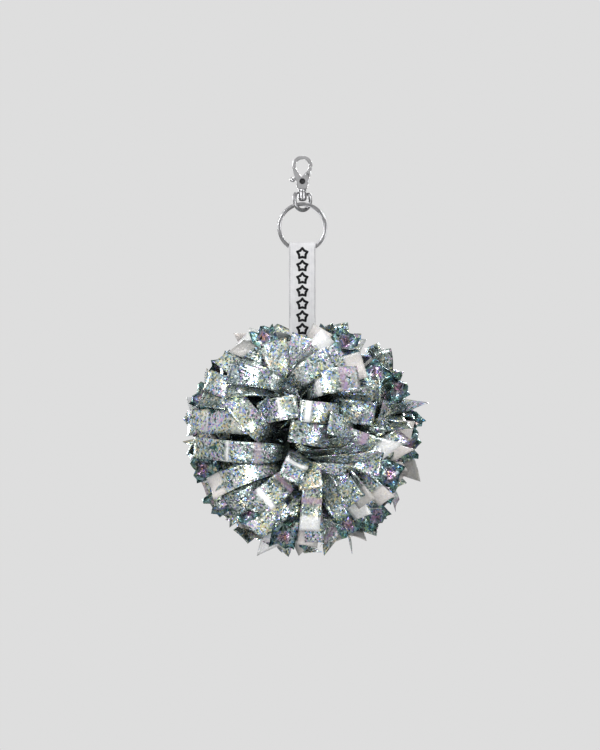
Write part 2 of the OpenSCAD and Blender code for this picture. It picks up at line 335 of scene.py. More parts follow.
def bezier(p, n):
    t = np.linspace(0, 1, n + 1)[:, None]
    return ((1 - t) ** 3 * p[0] + 3 * (1 - t) ** 2 * t * p[1] + 3 * (1 - t) * t ** 2 * p[2]
            + t ** 3 * p[3])


def travelled(points):
    """How far along the line each of its points is."""
    return np.concatenate([[0], np.cumsum(np.linalg.norm(np.diff(points, axis=0), axis=1))])


def even(points):
    """The same line with its points at equal spacing, and its length."""
    s = travelled(points)
    want = np.linspace(0, s[-1], len(points))
    return np.stack([np.interp(want, s, points[:, k]) for k in range(3)], 1), s[-1]


def smoothed(points, passes=3):
    points = points.copy()
    for _ in range(passes):
        points[1:-1] = (points[:-2] + 2 * points[1:-1] + points[2:]) / 4
    return points


def ease(x, low, high):
    """0 up to low, 1 from high on, and smooth between them."""
    t = np.clip((x - low) / (high - low), 0, 1)
    return t * t * (3 - 2 * t)


# ---------------------------------------------------------------- foil strips

# In the bands WHITE is a painted highlight and LILAC a painted iridescent reflection; WHITE and
# BEIGE also colour the white and beige ends.
LILAC = (0.50, 0.33, 0.47)
WHITE = (0.98, 0.98, 0.98)
BEIGE = (0.79, 0.745, 0.72)
TEAL = (0.20, 0.40, 0.40)
PINK = (0.54, 0.26, 0.40)
LEN_STEPS = 34
WIDTH_STEPS = 6
CUP = 0.6                       # how far a strip's edges stand off its middle
PAINTED_ENDS = {"white": (WHITE, 0.85, (9.0, 12.0)), "beige": (BEIGE, 0.9, (10.0, 12.0))}
DARK_END = (11.0, 17.0)         # distances from the tip over which a dark end fades out
PINK_AT, PINK_LEN, PINK_WIDTH = 6.5, 4.2, 0.6
LIT_RADII = (27.0, 61.0)        # from the darkest depth in the ball to full light
PAINTED_SHADE_POWERS = (1.0, 0.93, 0.94)     # the painted shade is also a little greener where it is deeper


def creases(t, v, along, offset, crumple, phase):
    """How far each point of a strip stands off its middle surface."""
    fade = ease(t, 0.25, 0.8)[:, None]
    ripple = (np.sin(along / 5.3 + phase[0] + offset / 4.1)
              + 0.7 * np.sin(along / 3.1 + phase[1] - offset / 3.3)
              + 0.5 * np.sin(offset / 1.9 + phase[2] + along / 8.0))
    return crumple * fade * ripple + CUP * (v[None, :] ** 2 - 0.4) * fade


def crumpled_end(t, along, offset, phase):
    """How much further a dark end's points stand off, and how far its edge is drawn out."""
    end = ease(t, 0.72, 0.86)[:, None]
    rough = (np.sin(along / 1.9 + phase[3] + offset * 0.9) + np.sin(offset / 1.3 + phase[4])
             + np.sin(along / 1.1 - offset * 0.7 + phase[5]))
    drawn = 0.6 * end * np.sin(offset * 1.3 + phase[4]) * ease(t, 0.9, 1.0)[:, None]
    return end * rough, drawn


def paint(tint, amount, colour):
    """Lays a colour, a painted highlight, a painted reflection or an end's colour, over what is
    already painted, and raises the strength.
    """
    amount = np.clip(np.broadcast_to(amount, tint.shape[:2]), 0, 1)[..., None]
    tint[..., :3] = tint[..., :3] * (1 - amount) + np.array(colour) * amount
    tint[..., 3:] = 1 - (1 - tint[..., 3:]) * (1 - amount)


def film_painted_light_and_ends(along, length, tip, bands):
    """Colour and strength of the bands, and of a white or beige end, at each point. White bands are
    painted highlights, and lilac and the other coloured bands painted iridescent reflections.
    """
    tint = np.zeros((LEN_STEPS + 1, WIDTH_STEPS + 1, 4))
    for place, reach, colour, strength in bands:
        near = 1 - ease(np.abs(along - place * length), reach * 0.75, reach * 1.1)
        paint(tint, near * strength, colour)
    if tip in PAINTED_ENDS:
        colour, strength, fade = PAINTED_ENDS[tip]
        paint(tint, strength * (1 - ease(length - along, *fade)), colour)
    return tint


def film_shade(grid, t, v, tone, phase):
    """Painted shade: darker deep in the ball, at the root and along the edges where strips shade
    one another, and painted light on one side. tone scales it all for the strip.
    """
    lit = 0.02 + 0.98 * ease(np.linalg.norm(grid, axis=-1), *LIT_RADII)
    depth = tone * lit * (0.55 + 0.45 * ease(t, 0.28, 0.6))[:, None]
    depth = depth * (1 - 0.3 * v[None, :] ** 8) * (1 + 0.28 * math.sin(phase[5]) * v[None, :])
    return np.stack([*(depth ** power for power in PAINTED_SHADE_POWERS), np.ones_like(depth)], -1)


def darken_end(shade, from_tip, offset, half):
    """Teal, with a pink spot in its middle."""
    near = (1 - ease(from_tip, *DARK_END))[..., None]
    lengthways = (from_tip - PINK_AT) / PINK_LEN
    sideways = offset / (PINK_WIDTH * half[:, None])
    middle = np.exp(-lengthways ** 2 - sideways ** 2)[..., None]
    hue = np.array(TEAL) * (1 - middle) + np.array(PINK) * middle
    shade[..., :3] *= 1 - near + near * hue


class Strips:
    """Gathers many strips into one mesh, with the attributes that the foil reads."""

    def __init__(self):
        self.verts, self.faces, self.uvs = [], [], []
        self.tints, self.lively, self.shades = [], [], []

    def strip(self, points, side, width, roll=0.0, twist=0.0, tip="plain", bands=(), lively=0.8,
              crumple=0.25, skew=0.0, tone=1.0, taper=26.0):
        """One strip along points (pom frame, mm). side is its width direction at the root. bands
        are (place along it from 0 to 1, half width in mm, colour, strength)."""
        points, length = even(smoothed(points))
        tangents, sides = carried(points, np.asarray(side, float))
        t = np.linspace(0, 1, LEN_STEPS + 1)
        v = np.linspace(-1, 1, WIDTH_STEPS + 1)
        angle = np.radians(roll + twist * ease(t, 0.25, 1.0))[:, None]
        across = sides * np.cos(angle) + np.cross(tangents, sides) * np.sin(angle)
        out = np.cross(tangents, across)
        half = width / 2 * (0.2 + 0.8 * ease(t * length, 10, taper + 6))
        phase = rng.uniform(0, 2 * math.pi, 6)
        along = t[:, None] * length
        offset = v[None, :] * half[:, None]
        height = creases(t, v, along, offset, crumple, phase)
        stretch = skew * width * v[None, :] * ease(t, 0.82, 1.0)[:, None]
        if tip == "dark":
            higher, drawn = crumpled_end(t, along, offset, phase)
            height, stretch = height + higher, stretch + drawn
        grid = (points[:, None, :] + across[:, None, :] * offset[..., None]
                + out[:, None, :] * height[..., None] + tangents[:, None, :] * stretch[..., None])
        shade = film_shade(grid, t, v, tone, phase)
        if tip == "dark":
            darken_end(shade, length - along, offset, half)
        self.add_sheet(grid)
        corner = rng.uniform(0, 500, 2)
        uv = np.stack([np.broadcast_to(along, offset.shape) + corner[0], offset + corner[1]], -1)
        glitter = (lively * (0.3 + 0.7 * ease(t, 0.3, 0.75)))[:, None]
        self.uvs += 2 * [uv.reshape(-1, 2)]
        self.tints += 2 * [film_painted_light_and_ends(along, length, tip, bands).reshape(-1, 4)]
        self.shades += 2 * [shade.reshape(-1, 4)]
        self.lively += 2 * [np.broadcast_to(glitter, offset.shape).ravel()]

    def add_sheet(self, grid):
        """The two faces of the film, and the walls between them."""
        start = sum(len(x) for x in self.verts)
        face = unit(np.cross(np.gradient(grid, axis=0), np.gradient(grid, axis=1)))
        half_film = face * FOIL_T / 2
        self.verts += [(grid + half_film).reshape(-1, 3), (grid - half_film).reshape(-1, 3)]
        self.faces.append(shell_faces(LEN_STEPS, WIDTH_STEPS, start))

    def build(self, name, nodes):
        verts = np.concatenate(self.verts) + np.array([0, 0, POM_Z])
        made = mesh_object(name, verts, np.concatenate(self.faces), FOIL)
        mesh = made.data
        add_uvs(mesh, "foil", np.concatenate(self.uvs))
        for key, values in (("tint", self.tints), ("shade", self.shades)):
            attribute = mesh.attributes.new(key, "FLOAT_COLOR", "POINT")
            attribute.data.foreach_set("color", np.concatenate(values).astype(np.float32).ravel())
        lively = mesh.attributes.new("lively", "FLOAT", "POINT")
        lively.data.foreach_set("value", np.concatenate(self.lively).astype(np.float32))
        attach(made, "pom")
        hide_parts(*nodes)


# Front strips that show whole: root (x, z), tip (x, z), and how each one lies. Their WHITE bands
# are painted highlights, and their LILAC and other coloured bands painted iridescent reflections.
# A tone below 1 darkens a strip as painted shade, and a tone above 1 lightens it as painted light.
HEROES = [
    # the fan at the top left of the middle
    dict(root=(-9, 29), tip=(-17, 57), lift=17, width=16, taper=62, sway=2,
         bands=[(.82, 3, WHITE, .35)]),
    dict(root=(-8, 30), tip=(1, 60), lift=14, width=14, taper=62, lively=.95),
    dict(root=(-7, 30), tip=(9, 50), lift=12, roll=38, tone=.85, taper=62, sway=3, twist=-20,
         bands=[(.9, 5, BEIGE, .5)]),
    dict(root=(-6, 25), tip=(17, 47), lift=20, width=14, taper=60, lively=.7, sway=7,
         bands=[(.7, 3, WHITE, .4)]),
    dict(root=(1, 22), tip=(33, 35), lift=24, width=15, roll=-8, taper=56, sway=9, lively=.85,
         bands=[(.66, 1.6, WHITE, .9), (.86, 2.4, LILAC, .7), (.97, 2.5, (.85, .80, .68), .6)]),
    dict(root=(8, 30), tip=(36, 43), lift=10, width=16, tip_look="beige", lively=.95, sway=4),
    dict(root=(-9, 28), tip=(-39, 54), lift=15, width=13, roll=10, taper=60, sway=-8, tone=.62,
         lively=.4, tip_look="beige"),
    dict(root=(-13, 34), tip=(-37, 45), lift=8, width=13, roll=52, taper=56, tone=.4),
    dict(root=(-9, 25), tip=(-43, 38), lift=21, width=13.5, taper=60, sway=-8, lively=.7, tone=.78,
         bands=[(.62, 4, WHITE, .35), (.95, 5, (.25, .45, .72), .35)]),
    dict(root=(-12, 22), tip=(-45, 27), lift=15, width=13, roll=50, taper=56, tone=.6, sway=-6),
    # left of the middle
    dict(root=(-15, 0), tip=(-43, 26), lift=28, width=14, sway=4, roll=14, lively=.95, taper=44,
         bands=[(.8, 5, (.75, .62, .35), .25)]),
    dict(root=(-13, 5), tip=(-23, 22), lift=16, width=14, roll=48, tone=.45),
    dict(root=(-15, 1), tip=(-68, 8), lift=31, width=15, sway=-10, roll=-12, taper=50, lively=1.1,
         bands=[(.58, 5, WHITE, .55), (.82, 2.2, WHITE, .7)]),
    dict(root=(-26, 14), tip=(-60, 23), lift=12, width=13, sway=-5, roll=24, lively=.6, tone=.5),
    dict(root=(-6, -7), tip=(-64, -5.5), lift=34, width=12.5, taper=50, lively=.9, sway=3,
         bands=[(.34, 1.3, WHITE, .8), (.55, 2.8, LILAC, .6), (.74, 1.4, WHITE, .9)]),
    dict(root=(-9, -19), tip=(-54, -30), lift=26, width=13.5, sway=-9, taper=55, lively=1.1,
         tip_look="beige"),
    dict(root=(-14, -22), tip=(-44, -40), lift=18, width=15, tone=.7, lively=.6, taper=55, sway=3),
    dict(root=(-4, -20), tip=(-28, -40), lift=24, width=15, lively=.9, taper=50,
         bands=[(.66, 2.8, LILAC, .8), (.86, 2.2, WHITE, .95)]),
    dict(root=(-12, -30), tip=(-30, -54), lift=14, width=17, lively=1.3, tone=1.25,
         bands=[(.85, 4, (.85, .85, .45), .25)]),
    # the curled bands over the middle
    dict(root=(-27, 13), tip=(-2.5, 19), lift=20, width=13.5, sway=2, root_y=-46, lively=.9,
         bands=[(.86, 1.5, WHITE, .95)]),
    dict(root=(22, 14), tip=(-2, 16.5), lift=17, width=12.5, root_y=-50, lively=.9,
         bands=[(.93, 2.6, WHITE, .95)]),
    dict(root=(31, 4), tip=(15, 10), lift=14, width=16, roll=28, root_y=-44, lively=.7),
    dict(root=(22, 0), tip=(-7.5, 5), lift=15, width=13, root_y=-52, lively=.75, tone=.8,
         bands=[(.75, 5, (.30, .24, .42), .3)]),
    # right of the middle
    dict(root=(16, 7), tip=(52, -8), lift=24, width=13.5, tip_look="white", lively=.8, sway=-4,
         skew=.4, taper=50, bands=[(.74, 2.8, LILAC, .85)]),
    dict(root=(24, 0), tip=(60, -10), lift=12, width=12, tip_look="beige", twist=30, skew=.3),
    dict(root=(4, -5), tip=(30, 0), lift=26, width=12, roll=62, root_y=-46),
    dict(root=(3, -9), tip=(43, -4), lift=26, width=12, roll=66, root_y=-44, lively=.9),
    dict(root=(5, -13), tip=(42, -10), lift=25, width=12, roll=60, root_y=-44),
    dict(root=(4, -16), tip=(26, -18), lift=24, width=13, roll=56, root_y=-44, lively=.9),
    dict(root=(20, -10), tip=(46, -15), lift=12, width=14, lively=1.0, tone=.8),
    dict(root=(14, 22), tip=(42, 24), lift=14, width=14, roll=24, tone=.7),
    dict(root=(14, 18), tip=(42, 14), lift=16, width=14, roll=14, lively=.95, tone=.75,
         bands=[(.85, 4, (.30, .20, .60), .3)]),
    dict(root=(22, 28), tip=(44, 27), lift=8, width=14, tone=.5, roll=-20),
    dict(root=(34, 14), tip=(63, 18), lift=6, width=14, roll=30, tone=.6, twist=40),
    dict(root=(34, 8), tip=(62, 9), lift=8, width=14, roll=-24, tone=.55, twist=-30),
    dict(root=(40, 6), tip=(65, 4), lift=4, width=12, tip_look="beige", twist=20),
    # below the middle
    dict(root=(-1, -9), tip=(-8, -24), lift=15, width=14, root_y=-50, lively=.9,
         bands=[(.8, 1.8, WHITE, .9)]),
    dict(root=(3, -13), tip=(5, -29), lift=15, width=14, root_y=-48, lively=1.0),
    dict(root=(7, -14), tip=(4, -54), lift=22, width=12, lively=.8, tip_look="white",
         bands=[(.74, 2.4, LILAC, .75)]),
    dict(root=(5, -34), tip=(3, -64), lift=6, width=12, tip_look="beige", sink=4, twist=10),
    dict(root=(10, -16), tip=(20, -38), lift=18, width=13, roll=40, tone=.6),
    dict(root=(14, -16), tip=(31, -37), lift=18, width=14, lively=.9, tone=.85),
    dict(root=(20, -16), tip=(38, -38), lift=12, width=13, tone=.7, tip_look="beige", roll=30),
    dict(root=(20, -24), tip=(36, -46), lift=8, width=13, tip_look="white", twist=40),
    dict(root=(30, -20), tip=(50, -37), lift=8, width=12, tip_look="beige", twist=30),
    # the top edge
    dict(root=(0, 44), tip=(15, 60), lift=10, width=11, tip_look="white", sink=-4),
    dict(root=(2, 44), tip=(12, 64), lift=4, width=13, tip_look="beige", twist=15),
    dict(root=(-30, 36), tip=(-48, 48), lift=6, width=13, lively=1.0, twist=20),
    dict(root=(-36, 26), tip=(-56, 34), lift=8, width=13, lively=1.0),
]
# Ends that are crumpled dark, pink in their middles and teal at their rims.
DARK_ENDS = [(-23, 60), (25, 56), (43, 37), (55, 29), (51, -21), (64, -5), (27, -50), (43, -46),
             (-11, -58), (-50, -39), (-58, -18), (-58, 24)]
# Where fans of strips leave the ball elsewhere, as directions from its middle.
FAN_POLES = [(-.15, -.85, .45), (-.2, -1, .05), (.75, -.6, -.1), (.1, -.6, -.75),
             (-.75, -.55, -.35), (0, .1, 1), (.95, .1, .3), (-1, .15, .2), (.5, .3, -.85),
             (-.45, .25, -.9), (.2, .95, .35), (-.25, .95, -.25), (.7, .7, -.2),
             (-.75, .65, .35), (.1, .75, -.8)]
TIP_KINDS = ["plain"] * 11 + ["white", "beige", "beige", "dark", "dark"]
TIERS = 8                       # strip nodes on each side of the ball
RIM_STRIPS = 48
FILL_STRIPS = 275
LEAST_REACH = 62                # the outer tips are at least this far from the ball's middle
HIDDEN_REACH = (46, 56)         # behind the large front strips, and beside the strap
ROOT_Y = -36.0
FAN_RISE = 17.0
DARK_END_REACH = 69
NEAREST_FRONT_SQ = 40.0         # keeps the tips at the very rim just in front of the middle


def golden(count):
    """Directions spread evenly over a ball."""
    i = np.arange(count) + 0.5
    z = 1 - 2 * i / count
    a = math.pi * (1 + 5 ** 0.5) * i
    r = np.sqrt(1 - z * z)
    return np.stack([r * np.cos(a), r * np.sin(a), z], 1)


def front(x, z):
    """The depth of the pom's front surface over a point of its front view."""
    return -math.sqrt(max(POM_R ** 2 - x * x - z * z, NEAREST_FRONT_SQ))


def arch(p0, p3, up, lift, sway):
    """A line from near the ball's middle to p0, then over to p3, pushed along up by lift and
    sideways by sway. Also the direction of the strip's width."""
    run = p3 - p0
    side = unit(np.cross(up, run))
    p1 = p0 + run * 0.12 + up * lift * 0.9 + side * sway
    p2 = p0 + run * 0.62 + up * lift * 0.6 + side * sway * 0.6
    lead = np.linspace(p0 * 0.33, p0, 7)[:-1]
    return np.concatenate([lead, bezier([p0, p1, p2, p3], LEN_STEPS - 6)]), side


def place_hero(group, hero):
    """A strip from its table entry. Its tip lies on the front of the ball."""
    look = {"width": 13.5, **hero}
    root, tip = look.pop("root"), look.pop("tip")
    look["tip"] = look.pop("tip_look", "plain")
    p0 = np.array([root[0], look.pop("root_y", ROOT_Y), root[1]], float)
    p3 = np.array([tip[0], front(*tip) + look.pop("sink", 0.0), tip[1]])
    points, side = arch(p0, p3, np.array([0.0, -1.0, 0.0]), look.pop("lift"),
                        look.pop("sway", 0.0))
    group.strip(points, side, **look)


def fan_strip(group, pole, toward, reach, **look):
    """A strip that leaves the ball's inside on its pole's side and arches over to toward."""
    pole = unit(pole)
    away = unit(pole - toward * (pole @ toward))
    spread = math.radians(rng.uniform(42, 60))
    root = toward * math.cos(spread) + away * math.sin(spread)
    points, side = arch(root * 0.5 * POM_R, toward * reach, unit(root + toward),
                        FAN_RISE * reach / POM_R, 0.0)
    group.strip(points, side, **look)


def group_for(groups, k, in_front):
    return groups[(0 if in_front else TIERS) + k % TIERS]


def rim_strips(groups):
    """Petals round the ball's outline, by turns in front of it and behind, but for the strap."""
    for k in range(RIM_STRIPS):
        turn = 2 * math.pi * (k + rng.uniform(-0.3, 0.3)) / RIM_STRIPS
        face = -1.0 if k % 2 == 0 else 1.0
        toward = unit([math.cos(turn), face * rng.uniform(0.0, 0.35), math.sin(turn)])
        if abs(toward[0]) < 0.24 and toward[2] > 0:
            continue
        root = toward * 0.34 * POM_R + np.array([rng.normal(0, 6), face * 12.0, rng.normal(0, 6)])
        points, side = arch(root, toward * rng.uniform(LEAST_REACH, POM_R),
                            np.array([0.0, face, 0.0]), rng.uniform(6, 14), rng.uniform(-4, 4))
        group_for(groups, k // 2, face < 0).strip(
            points, side, rng.uniform(10.5, 14), rng.uniform(-35, 35), twist=rng.uniform(-30, 30),
            tip=TIP_KINDS[rng.integers(len(TIP_KINDS))], lively=rng.uniform(0.8, 1.2),
            crumple=rng.uniform(0.2, 0.5), skew=rng.uniform(-0.42, 0.42),
            tone=rng.uniform(0.8, 1.1))


def fill_strips(groups):
    """The rest of the ball. In the front middle they stay behind the listed strips, and beside the
    strap they are short."""
    poles = unit(np.array(FAN_POLES))
    for k, toward in enumerate(golden(FILL_STRIPS)):
        toward = unit(toward + rng.normal(0, 0.05, 3))
        near = poles @ toward
        pole = poles[int(np.argmax(near - 0.15 * rng.uniform(0, 1, len(poles))))]
        hidden = toward[1] < -0.62
        by_strap = abs(toward[0]) < 0.25 and toward[2] > 0.85
        reach = rng.uniform(*(HIDDEN_REACH if hidden or by_strap else (LEAST_REACH, POM_R)))
        bands = []
        # Half the strips get a painted highlight band, and a painted iridescent reflection band
        # just beyond it.
        if rng.uniform() < 0.5:
            place = rng.uniform(0.55, 0.9)
            bands = [(place, rng.uniform(1, 2), WHITE, 0.8), (place + 0.1, 2.4, LILAC, 0.6)]
        # A hidden strip's tone of 0.08 paints it near black, as shade behind the front strips.
        fan_strip(group_for(groups, k, toward[1] < 0), pole, toward, reach,
                  width=rng.uniform(11.5, 14.5), roll=rng.normal(0, 22), twist=rng.normal(0, 30),
                  tip=TIP_KINDS[rng.integers(len(TIP_KINDS))] if not hidden else "plain",
                  bands=bands, lively=rng.uniform(0.6, 1.0), crumple=rng.uniform(0.15, 0.45),
                  skew=rng.uniform(-0.3, 0.3), tone=0.08 if hidden else rng.uniform(0.8, 1.15))


def make_foil():
    groups = [Strips() for _ in range(2 * TIERS)]
    for k, hero in enumerate(HEROES):
        place_hero(group_for(groups, k, True), hero)
    for k, (x, z) in enumerate(DARK_ENDS):
        out = min(1 + 6.5 / math.hypot(x, z), DARK_END_REACH / math.hypot(x, z))
        place_hero(group_for(groups, k, True), dict(
            root=(x * 0.5, z * 0.5), tip=(x * out, z * out), lift=9, width=15, tip_look="dark",
            crumple=0.4))
    rim_strips(groups)
    fill_strips(groups)
    for k, group in enumerate(groups):
        name = ("front" if k < TIERS else "back") + "_strips_" + str(k % TIERS + 1)
        group.build("foil_" + name, [name])


make_foil()


# ---------------------------------------------------------------- ribbon

FOLD_R = 1.8
FOLD_Z = -51.97
STRAIGHT_Z = -56.6      # the two plies are parallel down to here
JOIN_Z = -66.0          # and lie together from here on
TAIL_Z = POM_Z + 11.0
HALF_GAP = 0.31         # from the strap's middle to the middle of a ply, where they lie together
PLY_Y = FOLD_R + HALF_GAP


def ribbon_path():
    """Middle line of the ribbon in Y and Z, from the back ply's foot, over the fold, to the
    front ply's."""
    down = [(-HALF_GAP, z) for z in np.arange(JOIN_Z - 1, TAIL_Z, -1.2)] + [(-HALF_GAP, TAIL_Z)]
    slant = [(-HALF_GAP - (PLY_Y - HALF_GAP) * (1 - ease(t, 0, 1)),
              STRAIGHT_Z + (JOIN_Z - STRAIGHT_Z) * t) for t in np.linspace(0, 1, 9)]
    arc = [(-PLY_Y * math.sin(a), FOLD_Z + PLY_Y * math.cos(a))
           for a in np.radians(np.arange(0, 91, 10))]
    straight = [(-PLY_Y, z) for z in np.linspace(FOLD_Z - 1, STRAIGHT_Z + 1, 4)]
    half = np.array(arc + straight + slant + down)
    back = half[:0:-1] * np.array([-1, 1])
    return np.concatenate([back, half])


def make_ribbon():
    path = ribbon_path()
    n, m = len(path) - 1, 16
    tangent = unit(np.gradient(path, axis=0))
    outward = np.stack([tangent[:, 1], -tangent[:, 0]], 1)
    s = travelled(path)
    v = np.linspace(-1, 1, m + 1)
    x = v * RIBBON_W / 2
    verts, uvs = [], []
    for sign in (1, -1):
        thick = sign * PLY_T / 2 * (1 - 0.35 * (np.abs(v) > 0.99))
        for i in range(n + 1):
            edge = 0.05 * np.sin(s[i] / 7.0) * np.sign(v) * v ** 2
            for j in range(m + 1):
                y, z = path[i] + outward[i] * thick[j]
                verts.append((x[j] + edge[j], y, z))
                uvs.append((x[j], s[i]))
    made = mesh_object("ribbon_strap", verts, shell_faces(n, m), RIBBON)
    add_uvs(made.data, "weave", uvs)
    fix_normals(made)
    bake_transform(made)
    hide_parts("strap_loop", "strap_tail")


def fix_normals(made):
    work = bmesh.new()
    work.from_mesh(made.data)
    bmesh.ops.recalc_face_normals(work, faces=work.faces)
    work.to_mesh(made.data)
    work.free()
    made.data.update()


def front_face(s_down):
    """A point of the front ply's outer face in Y and Z, s_down along it from the fold's side, and
    the way out of the face there."""
    path = ribbon_path()
    front_half = path[len(path) // 2:]
    s = travelled(front_half)
    at = s_down + math.pi / 2 * PLY_Y
    here, there = (np.array([np.interp(place, s, front_half[:, k]) for k in range(2)])
                   for place in (at, at + 0.2))
    down = unit(there - here)
    out = np.array([down[1], -down[0]])
    return here + out * PLY_T / 2, out


def on_front(points, mirror=False):
    """Lays (x, s, height) points on the ribbon's front face, or on its back one."""
    placed = []
    for x, s, h in points:
        base, out = front_face(s)
        y, z = base + out * h
        placed.append((x, -y if mirror else y, z))
    return placed


STITCH_FROM, STITCH_TO = 0.6, 43.0
STITCH_PITCH = 1.05
STITCH = 0.62
STITCH_W = 0.30
STITCH_T = 0.10
STITCH_INSET = 0.55


def stitch(s, x):
    """The points of one stitch: four rings of six, thinner at its ends."""
    rings = []
    for t in np.linspace(0, 1, 4):
        swell = math.sin(math.pi * (0.12 + 0.76 * t))
        for a in np.radians([0, 60, 120, 180, 240, 300]):
            rings.append((x + math.cos(a) * STITCH_W / 2 * swell, s + t * STITCH,
                          0.02 + math.sin(a) * STITCH_T * swell))
    return rings


def make_stitching():
    verts, faces = [], []
    for mirror in (False, True):
        for side in (-1, 1):
            for s in np.arange(STITCH_FROM, STITCH_TO, STITCH_PITCH):
                base = len(verts)
                verts += on_front(stitch(s, side * (RIBBON_W / 2 - STITCH_INSET)), mirror)
                faces += tube_faces(4, 6, base)
    made = mesh_object("ribbon_stitches", verts, faces, THREAD)
    fix_normals(made)
    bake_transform(made)
    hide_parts("strap_stitching")


def tube_faces(rings, around, start=0):
    """Faces of a tube with closed ends."""
    faces = []
    for i in range(rings - 1):
        for q in range(around):
            a, b = start + i * around + q, start + i * around + (q + 1) % around
            faces.append((a, b, b + around, a + around))
    faces.append(tuple(start + q for q in range(around - 1, -1, -1)))
    faces.append(tuple(start + (rings - 1) * around + q for q in range(around)))
    return faces


def star_outline(r, inner, rounding, steps=4):
    """A five pointed star with rounded points, as (x, s) pairs."""
    corner = [(r if i % 2 == 0 else r * inner) * np.array([math.sin(math.pi * i / 5),
              -math.cos(math.pi * i / 5)]) for i in range(10)]
    pts = []
    for i in range(10):
        a, b, c = corner[i - 1], corner[i], corner[(i + 1) % 10]
        p, q = b + (a - b) * rounding, b + (c - b) * rounding
        for t in np.linspace(0, 1, steps):
            pts.append((1 - t) ** 2 * p + 2 * (1 - t) * t * b + t * t * q)
    return np.array(pts)


STARS = 7
STAR_R = 4.5
STAR_LINE = 2.35        # from the outer outline's points to the inner one's
STAR_PITCH = 7.6
FIRST_STAR = 4.6
INK_T = 0.06


def make_print():
    """A row of outlined stars, in place of the lettering on the real strap."""
    verts, faces = [], []
    outer = star_outline(STAR_R, 0.60, 0.42)
    inner = star_outline(STAR_R - STAR_LINE, 0.56, 0.3)
    n = len(outer)
    for k in range(STARS):
        s = FIRST_STAR + STAR_PITCH * k
        base = len(verts)
        for ring, h in ((outer, 0.0), (outer, INK_T), (inner, INK_T), (inner, 0.0)):
            verts += on_front([(p[0], s + p[1], h) for p in ring])
        for a in range(4):
            b = (a + 1) % 4
            for i in range(n):
                j = (i + 1) % n
                faces.append((base + a * n + i, base + a * n + j, base + b * n + j,
                              base + b * n + i))
    made = mesh_object("strap_stars", verts, faces, INK, smooth=False)
    fix_normals(made)
    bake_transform(made)
    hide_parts("strap_print")


make_ribbon()
make_stitching()
make_print()


# ---------------------------------------------------------------- metal and nylon

def refined(node, body, material, voxel=0.0, bevel=0.0):
    """A copy of a CAD node with rounded edges: a casting is remeshed and smoothed, and a turned
    or cut piece is bevelled."""
    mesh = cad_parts[node].data.copy()
    mesh.materials.clear()
    mesh.materials.append(material)
    made = bpy.data.objects.new("fine_" + node, mesh)
    bpy.context.scene.collection.objects.link(made)
    work = bmesh.new()
    work.from_mesh(mesh)
    bmesh.ops.remove_doubles(work, verts=work.verts, dist=1e-6)
    bmesh.ops.dissolve_limit(work, angle_limit=math.radians(1.0), verts=work.verts,
                             edges=work.edges)
    work.to_mesh(mesh)
    work.free()
    if voxel:
        cast = made.modifiers.new("cast", "REMESH")
        cast.mode, cast.voxel_size = "VOXEL", voxel * MM
        worn = made.modifiers.new("worn", "SMOOTH")
        worn.factor, worn.iterations = 0.5, 9
    if bevel:
        rounder = made.modifiers.new("bevel", "BEVEL")
        rounder.width, rounder.segments, rounder.limit_method = bevel * MM, 3, "ANGLE"
        rounder.angle_limit = math.radians(32)
    apply_modifiers(made)
    smooth_by_angle(made, 60 if voxel else 35)
    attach(made, body)
    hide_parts(node)


def apply_modifiers(made):
    view = bpy.context.evaluated_depsgraph_get()
    mesh = bpy.data.meshes.new_from_object(made.evaluated_get(view))
    made.modifiers.clear()
    made.data = mesh


def smooth_by_angle(made, degrees):
    """Smooth shading, with a hard line at each edge that is sharper than the angle."""
    mesh = made.data
    mesh.polygons.foreach_set("use_smooth", [True] * len(mesh.polygons))
    work = bmesh.new()
    work.from_mesh(mesh)
    for edge in work.edges:
        edge.smooth = len(edge.link_faces) == 2 and edge.calc_face_angle(0) < math.radians(degrees)
    work.to_mesh(mesh)
    work.free()


def circle(count):
    """Angles evenly round a circle."""
    return np.linspace(0, 2 * math.pi, count, endpoint=False)


def sweep(name, rings, material):
    """A tube through rings of points, with its two ends closed."""
    made = mesh_object(name, [p for ring in rings for p in ring],
                       tube_faces(len(rings), len(rings[0])), material)
    fix_normals(made)
    return made


RING_MID_R = 13.9
RING_HALF_W, RING_HALF_T = 1.1, 0.46
RING_SQUARENESS = 0.85          # 1 is an oval wire, and less is squarer
COIL_Y = 0.49                   # how far the middle of each coil is from the ring's middle
WIRE_FROM, WIRE_TO = -307.0, 371.1
CROSS_FROM, CROSS_TO = 18, 46   # degrees over which the wire passes from coil to coil


def make_split_ring():
    """One wire through nearly two turns. It crosses from the back coil to the front one."""
    outline = []
    for a in circle(24):
        c, d = math.cos(a), math.sin(a)
        outline.append((RING_HALF_W * math.copysign(abs(c) ** RING_SQUARENESS, c),
                        RING_HALF_T * math.copysign(abs(d) ** RING_SQUARENESS, d)))
    rings = []
    for angle in np.radians(np.arange(WIRE_FROM, WIRE_TO, 3.0)):
        shift = -COIL_Y + 2 * COIL_Y * ease(math.degrees(angle), CROSS_FROM, CROSS_TO)
        rings.append([((RING_MID_R + dr) * math.cos(angle), -(shift + dy),
                       RING_Z + (RING_MID_R + dr) * math.sin(angle)) for dr, dy in outline])
    made = sweep("fine_split_ring", rings, SHADED_NICKEL)
    smooth_by_angle(made, 40)
    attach(made, "ring")
    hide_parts("split_ring")


RIVET_HALF = 1.6
RIVET_PIN_R = 1.0
RIVET_HEAD = [(0.35, -2.0), (0.55, -1.86), (0.75, -1.78), (1.0, -1.82), (1.18, -2.02), (1.4, -2.06),
              (1.62, -2.0), (1.78, -1.85), (1.82, -1.68), (1.82, -RIVET_HALF)]


